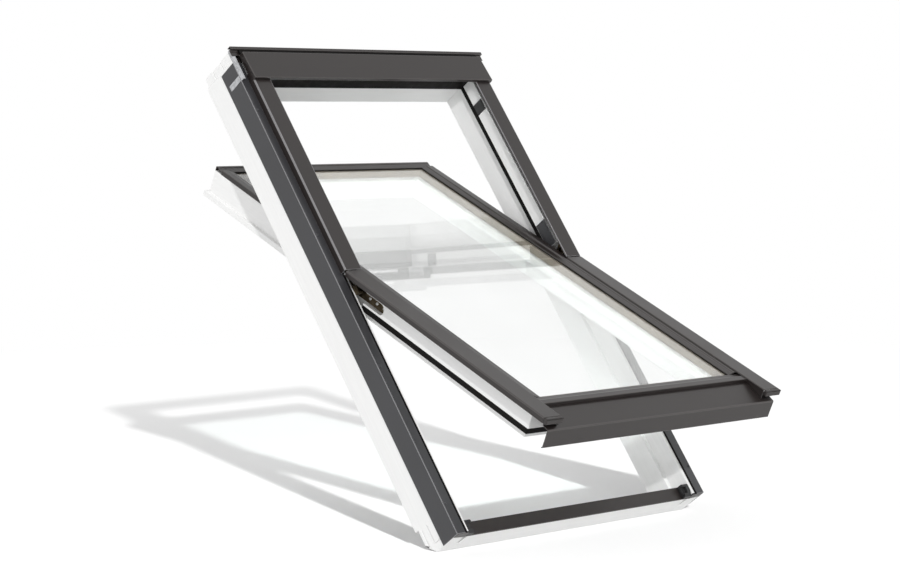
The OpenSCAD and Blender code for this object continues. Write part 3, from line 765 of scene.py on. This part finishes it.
class ROOFWINDOW_OT_timber(bpy.types.Operator):
    """Finish the timber of the frame and the sash"""

    bl_idname = "roof_window.timber"
    bl_label = "Timber"

    def execute(self, context):
        edge = settings().edges.timber
        for body in ("frame", "sash"):
            long_grain = lacquered_timber(body, True)
            cross_grain = lacquered_timber(body, False)
            rails = ("frame_head", "frame_sill") if body == "frame" else ("sash_head", "sash_foot")
            for side, hand in HANDS.items():
                cuts = joint_slots(hand) if body == "frame" else None
                dressed(f"{body}_stile_{side}", long_grain, "white_timber", edge, cuts=cuts)
            if body == "frame":
                timber_horns(long_grain)
            for node in rails:
                dressed(node, cross_grain, "white_timber", edge)
        return {"FINISHED"}


class ROOFWINDOW_OT_cladding(bpy.types.Operator):
    """Finish the sheet cladding, covers, hood and apron"""

    bl_idname = "roof_window.cladding"
    bl_label = "Cladding"

    def execute(self, context):
        colours, edges = settings().colours, settings().edges
        flange = coated_sheet("flange_coat", colours.flange_coat)
        cover = coated_sheet("cover_coat", colours.cover_coat)
        # Painted highlights: lighter fold materials that go on the rounded folds alone, standing for the
        # light caught there
        flange_fold_highlight = coated_sheet("flange_fold_highlight", colours.flange_fold_highlight)
        cover_fold_highlight = coated_sheet("cover_fold_highlight", colours.cover_fold_highlight)
        soft_fold_highlight = coated_sheet("soft_fold_highlight", colours.soft_fold_highlight)
        for node in [*pair("side_cladding"), "head_flashing", *pair("hinge_cover")]:
            dressed(node, flange, "grey_sheet", edges.fold, edge_highlight=flange_fold_highlight)
        for node in pair("upper_cover"):
            dressed(node, cover, "grey_sheet", edges.fold, segments=4, edge_highlight=cover_fold_highlight)
        folded = ["hood", "sill_cladding", "apron", "bead_head", "bead_foot"]
        for node in [*folded, *pair("bead"), *pair("lower_cover")]:
            dressed(node, cover, "grey_sheet", edges.fold, segments=4, edge_highlight=soft_fold_highlight)
        horn_caps(cover)
        both_sides("sill_end_cover", SILL_END, *SILL_END_RUN, cover, "grey_sheet", edges.metal)
        end_moulding = spark_eroded_plastic("end_moulding", colours.cover_coat)
        for node in pair("cover_end"):
            dressed(node, end_moulding, "grey_plastic", edges.moulding, segments=4)
        return {"FINISHED"}


class ROOFWINDOW_OT_seals(bpy.types.Operator):
    """Finish the seals and the black corner blocks"""

    bl_idname = "roof_window.seals"
    bl_label = "Seals"

    def execute(self, context):
        rubber = extruded_rubber()
        for node in ["frame_gasket", "sash_gasket", "glazing_seal", "hood_seal"]:
            dressed(node, rubber, "black_rubber", settings().edges.seal)
        rebate_seals(rubber)
        block = spark_eroded_plastic("corner_moulding", settings().colours.moulding)
        for node in [*pair("sill_corner"), *pair("stop_block")]:
            dressed(node, block, "black_plastic", settings().edges.seal)
        return {"FINISHED"}


class ROOFWINDOW_OT_glazing(bpy.types.Operator):
    """Finish the panes and their spacer"""

    bl_idname = "roof_window.glazing"
    bl_label = "Glazing"

    def execute(self, context):
        glass = float_glass()
        for node in ("inner_pane", "outer_pane"):
            pane = dressed(node, glass, "window_glass", settings().edges.glass, segments=1)
            pane.data.shade_flat()
            pane.modifiers.remove(pane.modifiers["flats"])
        dressed("pane_spacer", warm_edge_spacer(), "spacer", settings().edges.glass)
        return {"FINISHED"}


class ROOFWINDOW_OT_fittings(bpy.types.Operator):
    """Finish the hinges, the latch, the handle and the screws"""

    bl_idname = "roof_window.fittings"
    bl_label = "Fittings"

    def execute(self, context):
        edge = settings().edges.metal
        yellow = passivated_zinc()
        bright = bright_zinc()
        for node in [*pair("hinge_track"), *pair("hinge_shoe")]:
            dressed(node, yellow, "hinge_metal", edge)
        latch = ["striker_plate", "latch_case", "latch_bolt", "handle_crank"]
        for node in ["track_screws", "shoe_screws", *latch]:
            dressed(node, bright, "steel", edge)
        cladding_screw_heads(coated_sheet("screw_coat", settings().colours.flange_coat))
        dressed("handle_lever", anodised_lever(), "handle_metal", edge)
        return {"FINISHED"}


class ROOFWINDOW_OT_trim(bpy.types.Operator):
    """Finish the edge angles beside the hood and the bare plate below them"""

    bl_idname = "roof_window.trim"
    bl_label = "Trim"

    def execute(self, context):
        edge = settings().edges.metal
        zinc = dull_galvanising()
        for node in pair("hood_end"):
            dressed(node, zinc, "steel", edge)
        both_sides("hood_angle_end", ANGLE_END, *ANGLE_END_RUN, zinc, "steel", edge)
        plate = built("bare_plate", bar(PLATE, *PLATE_RUN), "frame", zinc, "steel")
        rounded(plate, edge / 2)
        return {"FINISHED"}


# Stage

FLOOR_RADIUS = 30.0
FLOOR_SIDES = 96
# Distances from the window's foot at which the floor starts to fade and is white
FADE_START, FADE_END = 0.4, 4.4
FILL_SIZE = 2.5
FILL_PLACE = Vector((-3.2, 0.4, 1.2))
FILL_TARGET = Vector((0, 0.3, 0.5))
SENSOR_WIDTH = 36


def seen_directly(tree):
    """1 for rays that see the room straight, in a reflection or through glass, and 0 for light."""
    path = tree.nodes.new("ShaderNodeLightPath")
    total = path.outputs["Is Camera Ray"]
    for ray in ("Is Glossy Ray", "Is Transmission Ray"):
        either = tree.nodes.new("ShaderNodeMath")
        either.operation = "MAXIMUM"
        tree.links.new(total, either.inputs[0])
        tree.links.new(path.outputs[ray], either.inputs[1])
        total = either.outputs["Value"]
    return total


def studio_floor():
    """A pale floor that keeps the shadow near the window and turns white further off."""
    stage = settings().stage
    mesh = bpy.data.meshes.new("studio_floor")
    shape = bmesh.new()
    bmesh.ops.create_circle(shape, cap_ends=True, segments=FLOOR_SIDES, radius=FLOOR_RADIUS)
    shape.to_mesh(mesh)
    shape.free()
    floor = bpy.data.objects.new("studio_floor", mesh)
    floor.location = (0, 0, CAD_BOX[0][2])
    bpy.context.scene.collection.objects.link(floor)
    finish = Finish("pale_floor")
    finish.set(Base_Color=grey(stage.floor_bounce), Roughness=0.9, Specular_IOR_Level=0.1)
    white = finish.add("ShaderNodeEmission", {"Color": grey(1), "Strength": 1.0})
    shown = finish.add("ShaderNodeBsdfDiffuse", {"Color": grey(stage.floor_shown)})
    place = finish.add("ShaderNodeTexCoord")
    distance = finish.add("ShaderNodeVectorMath", {0: place.outputs["Object"]}, operation="LENGTH")
    far = finish.add("ShaderNodeMapRange", {
        "Value": distance.outputs["Value"], "From Min": FADE_START, "From Max": FADE_END})
    tone = finish.add("ShaderNodeMixShader", {
        0: far.outputs["Result"], 1: shown.outputs["BSDF"], 2: white.outputs["Emission"]})
    mix = finish.add("ShaderNodeMixShader", {
        0: seen_directly(finish.tree), 1: finish.shader.outputs["BSDF"], 2: tone.outputs["Shader"]})
    finish.feed(finish.output, "Surface", mix.outputs["Shader"])
    mesh.materials.append(finish.material)
    return floor


def studio_room():
    """A white room that lights the window evenly and shows white behind it."""
    world = bpy.data.worlds.new("studio_room")
    bpy.context.scene.world = world
    world.use_nodes = True
    tree = world.node_tree
    shown = tree.nodes["Background"]
    shown.inputs["Color"].default_value = grey(1)
    shown.inputs["Strength"].default_value = 1.0
    light = tree.nodes.new("ShaderNodeBackground")
    light.inputs["Color"].default_value = grey(1)
    light.inputs["Strength"].default_value = settings().stage.room_strength
    mix = tree.nodes.new("ShaderNodeMixShader")
    tree.links.new(seen_directly(tree), mix.inputs[0])
    tree.links.new(light.outputs["Background"], mix.inputs[1])
    tree.links.new(shown.outputs["Background"], mix.inputs[2])
    tree.links.new(mix.outputs["Shader"], tree.nodes["World Output"].inputs["Surface"])


def aimed(item, look):
    """Turns a lamp or camera so that it looks along a direction, upright."""
    item.rotation_euler = Vector(look).to_track_quat("-Z", "Y").to_euler()


def key_light(name, strength):
    """A lamp in the key light's direction."""
    stage = settings().stage
    key = bpy.data.lights.new(name, "SUN")
    key.energy = strength
    key.angle = stage.key_angle
    sun = bpy.data.objects.new(name, key)
    aimed(sun, -Vector(stage.key_from))
    return sun


def studio_lamps(floor):
    """A key light, a twin for the floor alone that deepens the shadow, and a soft fill from the left."""
    stage = settings().stage
    sun = key_light("key_light", stage.key_strength)
    floor_sun = key_light("floor_key_light", stage.floor_key_strength)
    floor_sun.light_linking.receiver_collection = bpy.data.collections.new("floor_only")
    floor_sun.light_linking.receiver_collection.objects.link(floor)
    soft = bpy.data.lights.new("fill_light", "AREA")
    soft.energy = stage.fill_power
    soft.size = FILL_SIZE
    fill = bpy.data.objects.new("fill_light", soft)
    fill.location = FILL_PLACE
    aimed(fill, FILL_TARGET - FILL_PLACE)
    for lamp in (sun, floor_sun, fill):
        bpy.context.scene.collection.objects.link(lamp)


def studio_camera():
    """The camera at the photograph's viewing angle."""
    stage = settings().stage
    lens = bpy.data.cameras.new("camera")
    lens.lens = stage.lens
    lens.sensor_width = SENSOR_WIDTH
    lens.sensor_fit = "HORIZONTAL"
    camera = bpy.data.objects.new("camera", lens)
    camera.location = stage.camera_place
    aimed(camera, stage.camera_look)
    bpy.context.scene.collection.objects.link(camera)
    bpy.context.scene.camera = camera


class ROOFWINDOW_OT_stage(bpy.types.Operator):
    """Set up the floor, the light and the camera"""

    bl_idname = "roof_window.stage"
    bl_label = "Stage"

    def execute(self, context):
        context.scene.view_settings.view_transform = "Standard"
        floor = studio_floor()
        studio_room()
        studio_lamps(floor)
        studio_camera()
        return {"FINISHED"}


OPERATORS = (
    ROOFWINDOW_OT_timber,
    ROOFWINDOW_OT_cladding,
    ROOFWINDOW_OT_seals,
    ROOFWINDOW_OT_glazing,
    ROOFWINDOW_OT_fittings,
    ROOFWINDOW_OT_trim,
    ROOFWINDOW_OT_stage,
)


class ROOFWINDOW_PT_pieces(bpy.types.Panel):
    """The roof window's pieces and settings"""

    bl_idname = "ROOFWINDOW_PT_pieces"
    bl_label = "Roof Window"
    bl_space_type = "VIEW_3D"
    bl_region_type = "UI"
    bl_category = "Roof Window"

    def draw(self, context):
        for operator in OPERATORS:
            self.layout.operator(operator.bl_idname)
        for group in (settings().colours, settings().edges, settings().stage):
            box = self.layout.box()
            for name in group.__annotations__:
                box.prop(group, name)


CLASSES = (FinishColours, EdgeSizes, StageSettings, WindowSettings, *OPERATORS, ROOFWINDOW_PT_pieces)


def register():
    """Makes the classes and the settings known to Blender."""
    for kind in CLASSES:
        bpy.utils.register_class(kind)
    bpy.types.Scene.roof_window = PointerProperty(type=WindowSettings)


def unregister():
    """Takes the classes and the settings out of Blender again."""
    del bpy.types.Scene.roof_window
    for kind in reversed(CLASSES):
        bpy.utils.unregister_class(kind)


def main():
    """Finishes all the pieces and sets the stage."""
    register()
    bpy.ops.roof_window.timber()
    bpy.ops.roof_window.cladding()
    bpy.ops.roof_window.seals()
    bpy.ops.roof_window.glazing()
    bpy.ops.roof_window.fittings()
    bpy.ops.roof_window.trim()
    bpy.ops.roof_window.stage()


if __name__ == "__main__":
    main()
